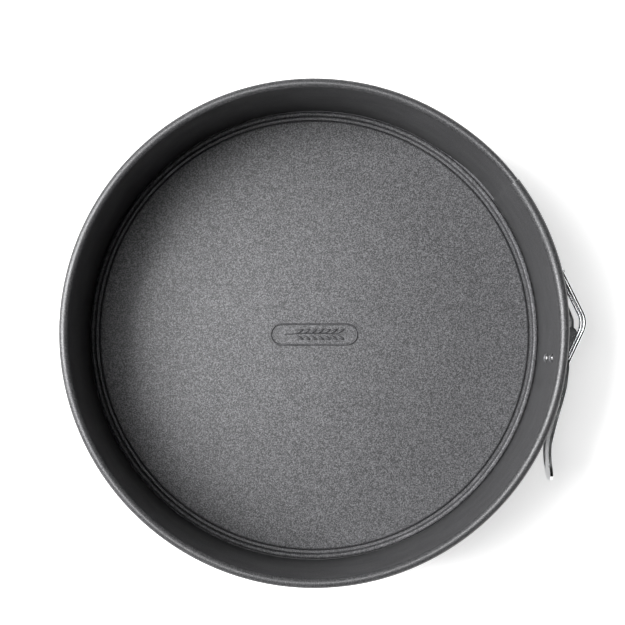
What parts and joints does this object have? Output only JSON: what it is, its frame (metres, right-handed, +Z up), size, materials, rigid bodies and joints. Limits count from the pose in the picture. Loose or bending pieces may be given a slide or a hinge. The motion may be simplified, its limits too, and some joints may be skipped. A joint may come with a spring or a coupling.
{
  "type": "springform pan",
  "caption": "Round springform baking pan: open steel ring with rolled rim and overlapping ends, loose base plate, and an over-centre lever clasp with a bent wire bail.",
  "frame": {"origin": "centre of the pan at the plane it stands on", "axes": "+Z up along the pan's axis, +X towards the clasp's pivot"},
  "size_m": [0.2101, 0.2, 0.068],
  "materials": {
    "coated_steel": "satin dark grey non-stick coating",
    "clasp_chrome": "bright nickel-plated"
  },
  "bodies": {
    "ring_body": {"band_over_end": "coated_steel", "base_plate": "coated_steel", "clasp_bracket": "clasp_chrome", "bracket_rivets": "clasp_chrome"},
    "ring_free_end": {"band_under_end": "coated_steel", "strike_plate": "coated_steel"},
    "lever": {"clasp_lever": "clasp_chrome", "pivot_pin": "clasp_chrome"},
    "bail": {"wire_bail": "clasp_chrome"}
  },
  "joints": [
    {"name": "lever_swing", "type": "hinge", "parent": "ring_body", "child": "lever", "pos_m": [0.1033, 0, 0.0414], "axis": [0, 0, 1], "range_deg": [0, 130]},
    {"name": "bail_swing", "type": "hinge", "parent": "lever", "child": "bail", "pos_m": [0.1006, -0.0157, 0.0414], "axis": [0, 0, 1], "range_deg": [-130, 0]},
    {"name": "ring_open", "type": "hinge", "parent": "ring_body", "child": "ring_free_end", "pos_m": [-0.1003, 0, 0.034], "axis": [0, 0, 1], "range_deg": [0, 2.6]}
  ],
  "couplings": [
    {"joint": "bail_swing", "follows": "lever_swing", "ratio": -1},
    {"joint": "ring_open", "follows": "lever_swing", "ratio": 0.02}
  ]
}
